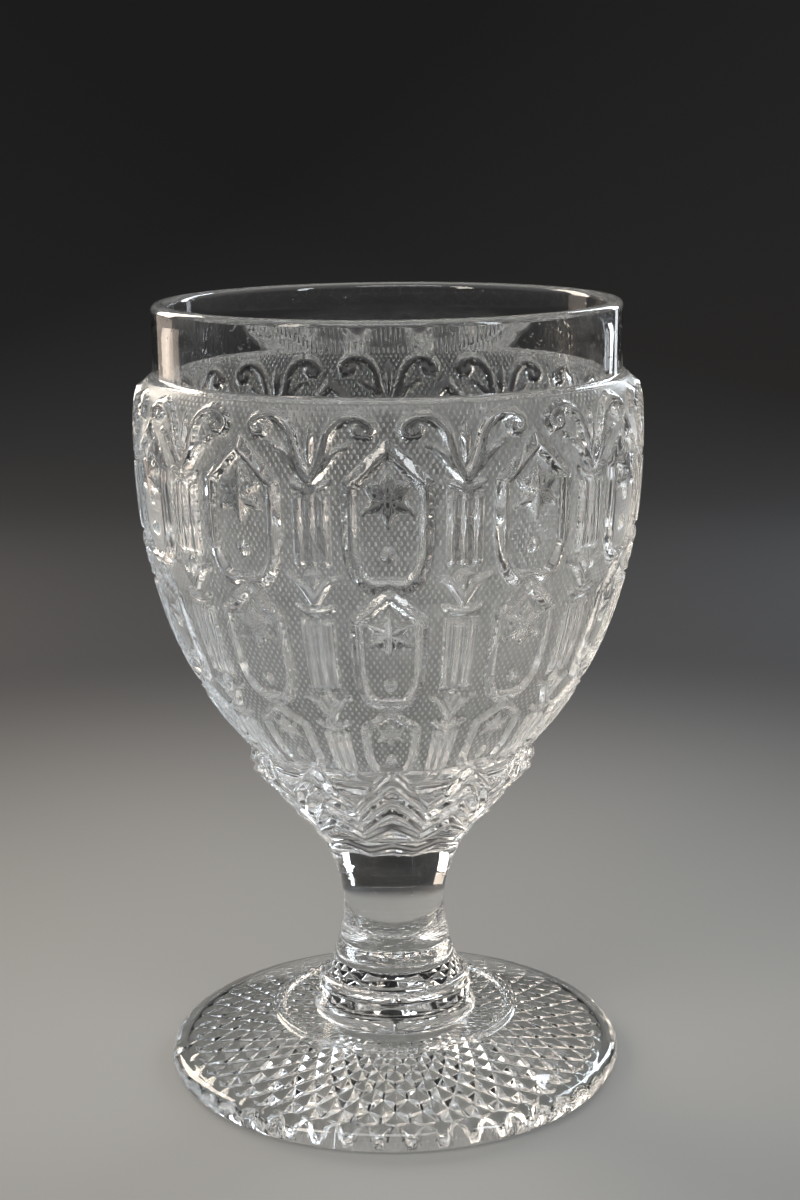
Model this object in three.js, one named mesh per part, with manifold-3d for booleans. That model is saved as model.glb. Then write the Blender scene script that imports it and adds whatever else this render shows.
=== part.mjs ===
import * as THREE from 'three';
import { mergeVertices } from 'three/addons/utils/BufferGeometryUtils.js';
import Module from 'manifold-3d';

// A pressed crystal goblet in millimetres, standing on z = 0 with +Z up. Four gathers of glass are fused
// hot, face to face on level planes: foot, joining wafer, stem and bowl. Angles are in degrees round the
// axis, from the side that faces -Y and turning towards +X.

// The foot: a low cone with a round edge, a smooth ring on top and a pressed diamond field underneath
const footRadius = 44.2;
const footEdgeHeight = 4.9;
const footEdgeRound = 2.6;
const footSeatHeight = 11;
const footRingRadius = 22.8;
const footRingWidth = 1.9;
const footRingRise = 0.6;
const restingRingWidth = 1;
const diamondCount = 44;
const diamondRows = 9;
const diamondRowRatio = 1.125;
const diamondDepth = 1.4;
const diamondClearance = 0.4;
const undersideRise = 3.2;

// The joining wafer: a short drum with a tall hollow skirt below and a round shoulder above
const waferHeight = 7.5;
const waferRadius = 15;
const waferSkirtWidth = 1.3;
const waferSkirtHeight = 3.6;
const waferShoulder = 2.3;

// The stem: waisted, plain and solid
const stemHeight = 31;
const stemFootRadius = 13.1;
const stemWaistRadius = 9.9;
const stemWaistHeight = 14.5;
const stemFlarePower = 1.75;

// The bowl's plain forms, with heights counted from its seat on the stem
const bowlSeatRadius = 15.8;
const collarHeight = 16.5;
const collarBandHeight = 4;
const collarRadius = 26;
const bowlRadius = 46.5;
const widestBelowShoulder = 11;
const ledgeHeight = 3.6;
const ledgeWidth = 3;
const rimBandHeight = 13;
const rimWall = 3;
const lipRound = 1.2;
const bowlFloor = 10.5;

// The pressed pattern: panel frames with pointed tops in three tiers, counted from the lowest. A panel's
// height is a share of the height of all three, and its gable and foot are shares of its own height.
const repeats = 11;
const panelsHeight = 65.8;
const frameWidth = 2.9;
const frameLift = 1.1;
const panelGap = 0.8;
const panelOverlap = 0.4;
const shoulderGap = 1.6;
const panels = [
  { share: 0.24, gable: 0.27, foot: 0.285, halfAngle: 9, footHalfAngle: 5 },
  { share: 0.36, gable: 0.25, foot: 0.255, halfAngle: 9, footHalfAngle: 5 },
  { share: 0.4, gable: 0.32, foot: 0.23, halfAngle: 9.9, footHalfAngle: 4.2 },
];

// Reeded columns between the panels: a shaft, a crescent necking and a tulip, twice, as shares of the
// column's height, then a shaft that reaches to the highest necking, and a pair of scrolls over it
const columnGap = 1.5;
const shaftWidth = 5.5;
const shaftLift = 1;
const reedGroove = 0.6;
const columnTiers = [
  { shaft: 0.168, necking: 0.045, tulip: 0.127 },
  { shaft: 0.246, necking: 0.056, tulip: 0.131 },
];
const topNecking = 2.8;
const stackGap = 0.25;
const neckingWidth = 7.4;
const neckingSag = 1.3;
const tulipWidth = 8.6;
const tulipFootWidth = 3;
const tulipDip = 1.8;
const ornamentLift = 1;
const scrollReach = 8.4;
const scrollRise = 8.6;
const scrollGap = 0.9;
const scrollEye = 1.9;
const scrollWidth = 2.2;
const scrollLift = 1.2;

// Zigzag ribs round the collar, high under the panels and low under the columns, counted from the lowest,
// with their heights as shares of the collar's
const ribLift = 1.2;
const ribs = [
  { peak: 0.44, valley: 0.13 },
  { peak: 0.68, valley: 0.29 },
  { peak: 0.92, valley: 0.46 },
];

// How deep a raised form is rooted in the wall under it, and how finely round forms are divided
const rootDepth = 1;
const columnsPerRepeat = 4;
const bowlSides = columnsPerRepeat * repeats;
const wellColumnsPerRepeat = 3;
const wellSides = wellColumnsPerRepeat * repeats;
const stemSides = 36;
const footSides = 2 * diamondCount;
const curveSteps = 7;
const roundSteps = 3;

const degree = Math.PI / 180;
const pitch = 360 / repeats;

// Heights that follow from the sizes above: the lowest panel stands just over the collar, each panel's
// point laps the foot of the panel above it, and the shoulder lies just over the highest point
let panelFoot = collarHeight + panelGap;
for (const panel of panels) {
  const height = panel.share * panelsHeight;
  panel.bottom = panelFoot;
  panel.sill = panelFoot + panel.foot * height;
  panel.eaves = panelFoot + (1 - panel.gable) * height;
  panel.top = panelFoot + height;
  panelFoot = panel.top - panelOverlap;
}
const shoulderHeight = panels.at(-1).top + shoulderGap;
const widestHeight = shoulderHeight - widestBelowShoulder;
const rimHeight = shoulderHeight + ledgeHeight + rimBandHeight;
const rimRadius = bowlRadius - ledgeWidth;
const wellRadius = rimRadius - rimWall;
const curveHeight = (widestHeight - collarHeight) / Math.sqrt(1 - (collarRadius / bowlRadius) ** 2);

const wasm = await Module();
wasm.setup();

// A closed geometry as a solid: only positions are kept, with shared corners merged and empty triangles
// dropped
function solid(geometry) {
  geometry.deleteAttribute('normal');
  geometry.deleteAttribute('uv');
  const merged = mergeVertices(geometry);
  const corners = merged.index.array;
  const triangles = [];
  for (let i = 0; i < corners.length; i += 3) {
    const [a, b, c] = corners.slice(i, i + 3);
    if (a !== b && b !== c && c !== a) triangles.push(a, b, c);
  }
  const vertProperties = merged.attributes.position.array;
  const triVerts = new Uint32Array(triangles);
  return new wasm.Manifold(new wasm.Mesh({ numProp: 3, vertProperties, triVerts }));
}

function geometryFrom(points, triangles) {
  const geometry = new THREE.BufferGeometry();
  geometry.setAttribute('position', new THREE.Float32BufferAttribute(points.flat(), 3));
  geometry.setIndex(triangles.flat());
  return geometry;
}

function geometryOf(joined) {
  const { vertProperties, triVerts } = joined.getMesh();
  const geometry = new THREE.BufferGeometry();
  geometry.setAttribute('position', new THREE.BufferAttribute(vertProperties, 3));
  geometry.setIndex(new THREE.BufferAttribute(triVerts, 1));
  return geometry;
}

// A profile of (radius, height) points turned about the axis, up the outside from the axis and back to it
function turned(profile, sides) {
  return new THREE.LatheGeometry(profile, sides).rotateX(Math.PI / 2);
}

// A closed form from rings of points, with a level face under the first ring and over the last. Each ring
// gives a (radius, height) point for each column, and quads are cut along alternate diagonals.
function ringed(rings, sides) {
  const points = [];
  for (const ring of rings) {
    for (let k = 0; k < sides; k += 1) {
      const angle = k / sides * 2 * Math.PI;
      const { x: radius, y: height } = ring(k);
      points.push([radius * Math.sin(angle), -radius * Math.cos(angle), height]);
    }
  }
  const last = (rings.length - 1) * sides;
  const below = points.push([0, 0, points[0][2]]) - 1;
  const above = points.push([0, 0, points[last][2]]) - 1;
  const triangles = [];
  for (let k = 0; k < sides; k += 1) {
    const next = (k + 1) % sides;
    triangles.push([below, next, k], [above, last + k, last + next]);
    for (let row = 0; row < rings.length - 1; row += 1) {
      const a = row * sides + k;
      const b = row * sides + next;
      const c = b + sides;
      const d = a + sides;
      if ((k + row) % 2) triangles.push([a, b, c], [a, c, d]);
      else triangles.push([a, b, d], [b, c, d]);
    }
  }
  return geometryFrom(points, triangles);
}

// Points of an elliptical arc about (radius, height), from one angle to another, both ends included
function arc(radius, height, across, up, from, to, steps) {
  const clockwise = to < from;
  const curve = new THREE.EllipseCurve(radius, height, across, up, from * degree, to * degree, clockwise);
  return curve.getPoints(steps);
}

const at = (radius, height) => new THREE.Vector2(radius, height);

// The bowl's wall under the pattern: a cone and an upright band make the collar, then an elliptical swell
// rises to the widest level and the wall stands upright to the shoulder
function wallRadius(height) {
  if (height <= collarHeight) {
    const share = Math.min(1, height / (collarHeight - collarBandHeight));
    return THREE.MathUtils.lerp(bowlSeatRadius, collarRadius, share);
  }
  const below = Math.max(0, widestHeight - height);
  return bowlRadius * Math.sqrt(1 - (below / curveHeight) ** 2);
}

// A point on the bowl's wall, lifted off it by a distance
function onWall(angle, height, lift) {
  const radius = wallRadius(height) + lift;
  return [radius * Math.sin(angle * degree), -radius * Math.cos(angle * degree), height];
}

// The solid bowl with its zigzag collar, before its well is cut and its pattern is raised
function bowlBlank() {
  const zigzag = (rib, k) => {
    const fromPanel = (k % columnsPerRepeat) / columnsPerRepeat;
    const fall = 2 * Math.min(fromPanel, 1 - fromPanel);
    return collarHeight * THREE.MathUtils.lerp(rib.peak, rib.valley, fall);
  };
  const rings = [() => at(bowlSeatRadius, 0)];
  ribs.forEach((rib, n) => {
    const above = ribs[n + 1];
    const crest = (k) => zigzag(rib, k);
    const groove = (k) => (zigzag(rib, k) + zigzag(above, k)) / 2;
    rings.push((k) => at(wallRadius(crest(k)) + ribLift, crest(k)));
    if (above) rings.push((k) => at(wallRadius(groove(k)), groove(k)));
  });
  const swell = Math.acos(collarRadius / bowlRadius) / degree;
  const rounds = [
    ...arc(0, widestHeight, bowlRadius, curveHeight, -swell, 0, curveSteps),
    ...arc(rimRadius, shoulderHeight, ledgeWidth, ledgeHeight, 0, 90, roundSteps),
    ...arc(rimRadius - lipRound, rimHeight - lipRound, lipRound, lipRound, 0, 90, roundSteps),
  ];
  rings.push(...rounds.map((point) => () => point));
  return solid(ringed(rings, bowlSides));
}

// The well that holds the drink, open through the rim with a round inner lip
function bowlWell() {
  const overRim = rimHeight + rimWall;
  const profile = [
    ...arc(0, widestHeight, wellRadius, widestHeight - bowlFloor, -90, 0, curveSteps),
    ...arc(wellRadius + lipRound, rimHeight - lipRound, lipRound, lipRound, 180, 90, roundSteps),
    at(wellRadius + lipRound, overRim),
    at(0, overRim),
  ];
  return solid(turned(profile, wellSides));
}

// A moulding on the wall: a section of (distance to the left of the path, lift) points carried along a path
// of (angle, height) points with mitred corners, either closed on itself or with flat ends
function moulding(path, section, closed) {
  const count = path.length;
  const points = [];
  const leftOf = (from, to, scale) => {
    const along = new THREE.Vector2((to.x - from.x) * scale, to.y - from.y).normalize();
    return new THREE.Vector2(-along.y, along.x);
  };
  path.forEach((here, k) => {
    const scale = wallRadius(here.y) * degree;
    const isFirst = k === 0 && !closed;
    const isLast = k === count - 1 && !closed;
    const before = isFirst ? null : leftOf(path[(k + count - 1) % count], here, scale);
    const after = isLast ? null : leftOf(here, path[(k + 1) % count], scale);
    const first = before ?? after;
    const second = after ?? before;
    const mitre = first.clone().add(second).divideScalar(1 + first.dot(second));
    for (const side of section) {
      points.push(onWall(here.x + mitre.x * side.x / scale, here.y + mitre.y * side.x, side.y));
    }
  });
  const wide = section.length;
  const triangles = [];
  const spans = closed ? count : count - 1;
  for (let k = 0; k < spans; k += 1) {
    const next = ((k + 1) % count) * wide;
    for (let j = 0; j < wide; j += 1) {
      const a = k * wide + j;
      const b = k * wide + (j + 1) % wide;
      const c = next + (j + 1) % wide;
      const d = next + j;
      triangles.push([a, b, c], [a, c, d]);
    }
  }
  if (!closed) {
    const last = (count - 1) * wide;
    for (const [a, b, c] of THREE.ShapeUtils.triangulateShape(section, [])) {
      triangles.push([a, c, b], [last + a, last + b, last + c]);
    }
  }
  return solid(geometryFrom(points, triangles));
}

// A flat-topped ornament on the wall, from an anticlockwise outline of (distance across, height) points
function ornament(angle, outline, lift) {
  const scale = wallRadius(outline[0].y) * degree;
  const count = outline.length;
  const levels = [lift, -rootDepth];
  const points = levels.flatMap((level) => outline.map((p) => onWall(angle + p.x / scale, p.y, level)));
  const triangles = [];
  for (const [a, b, c] of THREE.ShapeUtils.triangulateShape(outline, [])) {
    triangles.push([a, b, c], [count + a, count + c, count + b]);
  }
  for (let k = 0; k < count; k += 1) {
    const next = (k + 1) % count;
    triangles.push([k, count + k, count + next], [k, count + next, next]);
  }
  return solid(geometryFrom(points, triangles));
}

// A ridge section with two sloping sides, which meet the wall at the given width
function ridge(width, lift) {
  const half = width / 2 * (lift + rootDepth) / lift;
  return [at(half, -rootDepth), at(0, lift), at(-half, -rootDepth)];
}

function panelFrame(angle, panel) {
  const inset = frameWidth / 2;
  const across = (height) => inset / (wallRadius(height) * degree);
  const half = panel.halfAngle - across(panel.eaves);
  const footHalf = panel.footHalfAngle - across(panel.bottom);
  const outline = [
    at(0, panel.top - inset),
    at(-half, panel.eaves),
    at(-half, panel.sill),
    at(-footHalf, panel.bottom + inset),
    at(footHalf, panel.bottom + inset),
    at(half, panel.sill),
    at(half, panel.eaves),
  ];
  const path = outline.map((point) => at(angle + point.x, point.y));
  return moulding(path, ridge(frameWidth, frameLift), true);
}

// A shaft of three reeds
function shaft(angle, bottom, top) {
  const half = shaftWidth / 2;
  const reed = shaftWidth / 3;
  const section = [
    at(half, -rootDepth),
    at(half - reed / 3, shaftLift),
    at(reed / 2, shaftLift - reedGroove),
    at(0, shaftLift),
    at(-reed / 2, shaftLift - reedGroove),
    at(reed / 3 - half, shaftLift),
    at(-half, -rootDepth),
  ];
  return moulding([at(angle, bottom), at(angle, top)], section, false);
}

// A crescent that sags in the middle, with pointed ends
function necking(angle, bottom, height) {
  const half = neckingWidth / 2;
  const top = bottom + height;
  const outline = [at(-half, top), at(0, bottom), at(half, top), at(0, top - neckingSag)];
  return ornament(angle, outline, ornamentLift);
}

// A tulip on a narrow foot, with one upright petal between two that spread
function tulip(angle, bottom, height) {
  const half = tulipWidth / 2;
  const footHalf = tulipFootWidth / 2;
  const top = bottom + height;
  return ornament(angle, [
    at(-footHalf, bottom),
    at(footHalf, bottom),
    at(half, top - tulipDip / 2),
    at(footHalf, top - tulipDip),
    at(0, top),
    at(-footHalf, top - tulipDip),
    at(-half, top - tulipDip / 2),
  ], ornamentLift);
}

// A scroll that rises from a column's top and curls outwards and under, to the left or right
function scroll(angle, bottom, hand) {
  const scale = wallRadius(bottom) * degree * hand;
  const eye = at(scrollReach, bottom + scrollRise - scrollEye);
  const [enters, ends] = [135, -90];
  const path = [
    at(scrollWidth / 2, bottom),
    at(scrollReach / 3, bottom + scrollRise / 2),
    ...arc(eye.x, eye.y, scrollEye, scrollEye, enters, ends, roundSteps),
  ];
  const turnedPath = path.map((point) => at(angle + point.x / scale, point.y));
  return moulding(turnedPath, ridge(scrollWidth, scrollLift), false);
}

// Everything that stands on one column's line, from the collar to the shoulder
function columnForms(angle) {
  const scrollLevel = shoulderHeight - scrollGap - scrollRise;
  const topNeckingLevel = scrollLevel - topNecking;
  const forms = [scroll(angle, scrollLevel, 1), scroll(angle, scrollLevel, -1)];
  let level = collarHeight + columnGap;
  const columnHeight = topNeckingLevel - level;
  for (const tier of columnTiers) {
    const neckingHeight = tier.necking * columnHeight;
    const tulipHeight = tier.tulip * columnHeight;
    const neckingLevel = level + tier.shaft * columnHeight;
    const tulipLevel = neckingLevel + neckingHeight;
    forms.push(shaft(angle, level, neckingLevel - stackGap));
    forms.push(necking(angle, neckingLevel, neckingHeight - stackGap));
    forms.push(tulip(angle, tulipLevel, tulipHeight - stackGap));
    level = tulipLevel + tulipHeight;
  }
  forms.push(shaft(angle, level, topNeckingLevel - stackGap));
  forms.push(necking(angle, topNeckingLevel, topNecking - stackGap));
  return forms;
}

function bowl() {
  let glass = bowlBlank().subtract(bowlWell());
  for (let k = 0; k < repeats; k += 1) {
    const panelAngle = k * pitch;
    const columnAngle = panelAngle + pitch / 2;
    for (const panel of panels) glass = glass.add(panelFrame(panelAngle, panel));
    for (const form of columnForms(columnAngle)) glass = glass.add(form);
  }
  return geometryOf(glass);
}

// Radius along the stem: a waist that flares by the same power law to both ends
function stemProfile() {
  const profile = [at(0, 0)];
  const radius = (end, share) => THREE.MathUtils.lerp(stemWaistRadius, end, share ** stemFlarePower);
  for (let k = curveSteps; k > 0; k -= 1) {
    const share = k / curveSteps;
    profile.push(at(radius(stemFootRadius, share), stemWaistHeight * (1 - share)));
  }
  for (let k = 0; k <= curveSteps; k += 1) {
    const share = k / curveSteps;
    const height = THREE.MathUtils.lerp(stemWaistHeight, stemHeight, share);
    profile.push(at(radius(bowlSeatRadius, share), height));
  }
  profile.push(at(0, stemHeight));
  return profile;
}

function waferProfile() {
  const shoulderWidth = waferRadius - stemFootRadius;
  const skirtFoot = waferRadius + waferSkirtWidth;
  return [
    at(0, 0),
    ...arc(skirtFoot, waferSkirtHeight, waferSkirtWidth, waferSkirtHeight, 270, 180, roundSteps),
    ...arc(stemFootRadius, waferHeight - waferShoulder, shoulderWidth, waferShoulder, 0, 90, roundSteps),
    at(0, waferHeight),
  ];
}

// The foot, from the middle of its underside round the edge to the middle of its top. In the diamond field
// every other point stands down as the tip of a diamond, and the rest lie in the grooves between.
function foot() {
  const restingOuter = footRadius - footEdgeRound;
  const restingInner = restingOuter - restingRingWidth;
  const fieldRadius = restingInner - diamondClearance - diamondDepth;
  const rings = [];
  for (let row = 0; row <= diamondRows; row += 1) {
    const share = diamondRowRatio ** (row - diamondRows);
    const tip = diamondClearance + undersideRise * (1 - share);
    const groove = tip + diamondDepth * share;
    const inField = row > 0 && row < diamondRows;
    rings.push((k) => at(fieldRadius * share, inField && (k + row) % 2 === 0 ? tip : groove));
  }
  const halfEdge = footEdgeHeight / 2;
  const rounds = [
    at(restingInner, 0),
    ...arc(restingOuter, halfEdge, footEdgeRound, halfEdge, -90, 90, 2 * roundSteps),
    ...arc(footRingRadius, footSeatHeight, footRingWidth / 2, footRingRise, 0, 180, roundSteps),
  ];
  rings.push(...rounds.map((point) => () => point));
  return ringed(rings, footSides);
}

// A named piece of colourless glass, standing at the height of its seat
function piece(name, geometry, seat) {
  const glass = new THREE.MeshStandardMaterial({ color: 0xe4e9ea, roughness: 0.05, metalness: 0 });
  geometry.computeVertexNormals();
  const mesh = new THREE.Mesh(geometry, glass);
  mesh.name = name;
  mesh.position.z = seat;
  return mesh;
}

const waferSeat = footSeatHeight;
const stemSeat = waferSeat + waferHeight;
const bowlSeat = stemSeat + stemHeight;

const goblet = new THREE.Group();
goblet.add(
  piece('foot', foot(), 0),
  piece('joining_wafer', turned(waferProfile(), stemSides), waferSeat),
  piece('stem', turned(stemProfile(), stemSides), stemSeat),
  piece('bowl', bowl(), bowlSeat),
);

export default goblet;
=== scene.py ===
import bpy
import numpy as np
from functools import partial
from mathutils import Matrix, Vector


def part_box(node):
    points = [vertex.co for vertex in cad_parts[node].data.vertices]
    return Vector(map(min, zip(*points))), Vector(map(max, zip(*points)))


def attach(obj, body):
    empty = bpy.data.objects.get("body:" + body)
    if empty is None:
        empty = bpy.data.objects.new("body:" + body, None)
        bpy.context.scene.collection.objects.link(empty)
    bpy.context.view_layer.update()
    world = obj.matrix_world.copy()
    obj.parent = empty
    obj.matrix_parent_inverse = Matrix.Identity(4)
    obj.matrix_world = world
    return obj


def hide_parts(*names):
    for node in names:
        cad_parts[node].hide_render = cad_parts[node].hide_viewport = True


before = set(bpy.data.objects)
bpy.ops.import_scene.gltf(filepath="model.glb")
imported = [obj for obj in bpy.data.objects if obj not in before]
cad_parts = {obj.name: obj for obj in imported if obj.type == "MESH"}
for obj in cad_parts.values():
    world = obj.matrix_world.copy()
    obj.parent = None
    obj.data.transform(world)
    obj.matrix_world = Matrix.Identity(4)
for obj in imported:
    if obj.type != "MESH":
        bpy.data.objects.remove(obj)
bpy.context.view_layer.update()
print("frame loaded, with nodes", sorted(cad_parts))

# Sizes are in millimetres and angles in degrees round the axis, from -Y towards +X
mm = 0.001


# Lowest and highest level of a node, in millimetres
def levelsOf(name):
    low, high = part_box(name)
    return low.z / mm, high.z / mm


waferSeat, stemSeat = levelsOf("joining_wafer")
bowlSeat, rimTop = levelsOf("bowl")


# Equal turns round the axis, in radians
def turns(columns):
    return np.arange(columns) * 2 * np.pi / columns


# One ring of points round the axis: x = r sin(angle), y = -r cos(angle), z = height
def ring(radius, height, angle):
    radius = np.broadcast_to(radius, len(angle))
    height = np.broadcast_to(height, len(angle))
    return np.stack([radius * np.sin(angle), -radius * np.cos(angle), height], 1) * mm


# Points (radius, height) of an elliptical arc, from one angle to another
def arc(radius, height, across, up, start, end, steps):
    turn = np.radians(np.linspace(start, end, steps + 1))
    return np.stack([radius + across * np.cos(turn), height + up * np.sin(turn)], 1)


# A ring for each point (radius, height) of a profile
def rings(profile, angle):
    return [ring(radius, height, angle) for radius, height in profile]


# Faces between two rings. Rings with the same columns have quads, or triangles where the cut is given: it is
# true where the diagonal rises to the right. A ring with half as many columns takes three triangles for each
# column.
def strip(start, columns, nextStart, nextColumns, cut=None):
    k = np.arange(nextColumns)
    after = (k + 1) % nextColumns
    if columns == nextColumns:
        corners = [start + k, start + after, nextStart + after, nextStart + k]
        if cut is None:
            return [np.stack(corners, 1)]
        a, b, c, d = corners
        return [np.stack([a, b, np.where(cut, c, d)], 1), np.stack([np.where(cut, a, b), c, d], 1)]
    left, middle = start + 2 * k, start + 2 * k + 1
    right = start + (2 * k + 2) % columns
    return [
        np.stack([left, middle, nextStart + k], 1),
        np.stack([middle, nextStart + after, nextStart + k], 1),
        np.stack([middle, right, nextStart + after], 1),
    ]


# A closed skin over a stack of rings that runs up the outside, with a point on the axis at each end.
# A fused end is a level face in the seam material, with a sharp edge, where the next gather carries on.
def stackPiece(name, stack, ends, fused, materials, cuts=()):
    counts = [len(points) for points in stack]
    starts = np.concatenate([[0], np.cumsum(counts)])
    poles = np.array([[0, 0, ends[0] * mm], [0, 0, ends[1] * mm]])
    points = np.concatenate(stack + [poles])
    faces = []
    for k in range(len(stack) - 1):
        cut = cuts[k] if k < len(cuts) else None
        for block in strip(starts[k], counts[k], starts[k + 1], counts[k + 1], cut):
            faces += block.tolist()
    sides = len(faces)
    first = np.arange(counts[0])
    last = starts[-2] + np.arange(counts[-1])
    faces += np.stack([np.full(counts[0], starts[-1]), np.roll(first, -1), first], 1).tolist()
    faces += np.stack([last, np.roll(last, -1), np.full(counts[-1], starts[-1] + 1)], 1).tolist()
    mesh = bpy.data.meshes.new(name)
    mesh.from_pydata(points, [], faces)
    for material in materials:
        mesh.materials.append(material)
    mesh.polygons.foreach_set("use_smooth", np.ones(len(faces), bool))
    slots = np.zeros(len(faces), np.int32)
    slots[sides:sides + counts[0]] = fused[0]
    slots[sides + counts[0]:] = fused[1]
    mesh.polygons.foreach_set("material_index", slots)
    pairs = np.zeros(len(mesh.edges) * 2, np.int32)
    mesh.edges.foreach_get("vertices", pairs)
    pairs = pairs.reshape(-1, 2)
    inFirst = (pairs < counts[0]).all(1) & bool(fused[0])
    inLast = ((pairs >= starts[-2]) & (pairs < starts[-1])).all(1) & bool(fused[1])
    sharp = mesh.attributes.new("sharp_edge", "BOOLEAN", "EDGE")
    sharp.data.foreach_set("value", inFirst | inLast)
    mesh.update()
    piece = bpy.data.objects.new(name, mesh)
    bpy.context.scene.collection.objects.link(piece)
    print(name, "has", len(points), "points and", len(faces), "faces")
    return piece


# A value at each point of a mesh, for its material to read
def addValues(mesh, name, values):
    attribute = mesh.attributes.new(name, "FLOAT", "POINT")
    attribute.data.foreach_set("value", values.astype(np.float32))


# A node of a shader tree, with its settings, its values and its links
def node(tree, kind, inputs=None, **settings):
    made = tree.nodes.new("ShaderNode" + kind)
    for key, value in settings.items():
        setattr(made, key, value)
    for key, value in (inputs or {}).items():
        if isinstance(value, bpy.types.NodeSocket):
            tree.links.new(value, made.inputs[key])
        else:
            made.inputs[key].default_value = value
    return made


# The result of one step of arithmetic in a shader tree
def sums(tree, operation, first, second=0.0):
    return node(tree, "Math", {0: first, 1: second}, operation=operation).outputs[0]


polish = {
    "inputs": {"Wave Size": 70.0, "Wave Depth": 0.00004, "Pit Depth": 0.00002, "Smear": 0.05},
    "waveDetail": 2.0,
    "pits": {"scale": 900.0, "detail": 1.0, "from": 0.68, "to": 0.78},
    "smears": {"scale": 38.0, "detail": 4.0, "from": 0.5, "to": 0.8},
}


# Fire-polished skin: slow waves left by the mould, fine pits, and faint smears that dull the shine.
# Pits and smears are the peaks of a noise, from one level to another.
def makeSkinGroup():
    group = bpy.data.node_groups.new("firePolishedSkin", "ShaderNodeTree")
    for name, value in polish["inputs"].items():
        socket = group.interface.new_socket(name, in_out="INPUT", socket_type="NodeSocketFloat")
        socket.default_value = value
    for name in ("Height", "Roughness"):
        group.interface.new_socket(name, in_out="OUTPUT", socket_type="NodeSocketFloat")
    entry = group.nodes.new("NodeGroupInput")
    leave = group.nodes.new("NodeGroupOutput")
    place = node(group, "TexCoord").outputs["Object"]
    waves = node(group, "TexNoise", {
        "Vector": place, "Scale": entry.outputs["Wave Size"], "Detail": polish["waveDetail"],
    })
    peaks = []
    for mark in (polish["pits"], polish["smears"]):
        noise = node(group, "TexNoise", {"Vector": place, "Scale": mark["scale"], "Detail": mark["detail"]})
        span = {"Value": noise.outputs["Fac"], "From Min": mark["from"], "From Max": mark["to"]}
        peaks.append(node(group, "MapRange", span).outputs["Result"])
    wave = sums(group, "MULTIPLY", waves.outputs["Fac"], entry.outputs["Wave Depth"])
    pit = sums(group, "MULTIPLY", peaks[0], entry.outputs["Pit Depth"])
    smear = sums(group, "MULTIPLY", peaks[1], entry.outputs["Smear"])
    group.links.new(sums(group, "SUBTRACT", wave, pit), leave.inputs["Height"])
    group.links.new(smear, leave.inputs["Roughness"])
    return group


skinGroup = makeSkinGroup()

crystal = {"colour": (0.985, 0.99, 0.99, 1), "ior": 1.55, "shadow": (0.74, 0.75, 0.75, 1)}


# Colourless crystal over the skin group, with a pressed ground where one is given. Lamps shine through it, so
# the floor under it keeps a pale shadow.
def makeCrystal(name, skin, groundGroup=None):
    material = bpy.data.materials.new(name)
    material.use_nodes = True
    tree = material.node_tree
    tree.nodes.clear()
    surface = node(tree, "Group", node_tree=skinGroup)
    for key, value in skin.items():
        surface.inputs[key].default_value = value
    height, roughness = surface.outputs["Height"], surface.outputs["Roughness"]
    glass = node(tree, "BsdfPrincipled", {
        "Base Color": crystal["colour"], "IOR": crystal["ior"], "Metallic": 0.0, "Transmission Weight": 1.0,
    })
    if groundGroup:
        ground = node(tree, "Group", node_tree=groundGroup)
        height = sums(tree, "ADD", height, ground.outputs["Height"])
        roughness = sums(tree, "ADD", roughness, ground.outputs["Mist"])
        # The ground's colour carries painted shade between its beads.
        tree.links.new(ground.outputs["Color"], glass.inputs["Base Color"])
    bump = node(tree, "Bump", {"Height": height, "Distance": 1.0})
    tree.links.new(bump.outputs["Normal"], glass.inputs["Normal"])
    tree.links.new(roughness, glass.inputs["Roughness"])
    clear = node(tree, "BsdfTransparent", {"Color": crystal["shadow"]})
    path = node(tree, "LightPath")
    both = node(tree, "MixShader", {
        "Fac": path.outputs["Is Shadow Ray"], 1: glass.outputs[0], 2: clear.outputs[0],
    })
    node(tree, "OutputMaterial", {"Surface": both.outputs[0]})
    return material


# Inside a fused joint there is no surface, so light passes straight on
def makeSeam():
    material = bpy.data.materials.new("fusedSeam")
    material.use_nodes = True
    tree = material.node_tree
    tree.nodes.clear()
    clear = node(tree, "BsdfTransparent", {"Color": (1, 1, 1, 1)})
    node(tree, "OutputMaterial", {"Surface": clear.outputs[0]})
    return material


seam = makeSeam()

stipple = {
    "rowsPerMillimetre": 0.575, "dots": (187, 231, 264), "tiers": (81.5, 103.5),  # dots round each tier
    "gap": 0.1, "depth": 0.00022, "mist": 0.29,
    # The two colours are painted shade between the beads: the first high up, the second low down.
    "colour": (0.73, 0.74, 0.74, 1), "lowShadeColour": (0.26, 0.265, 0.265, 1),
    "thicker": (112, 82),  # levels between which the painted shade between the beads darkens to the low colour
}
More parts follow.
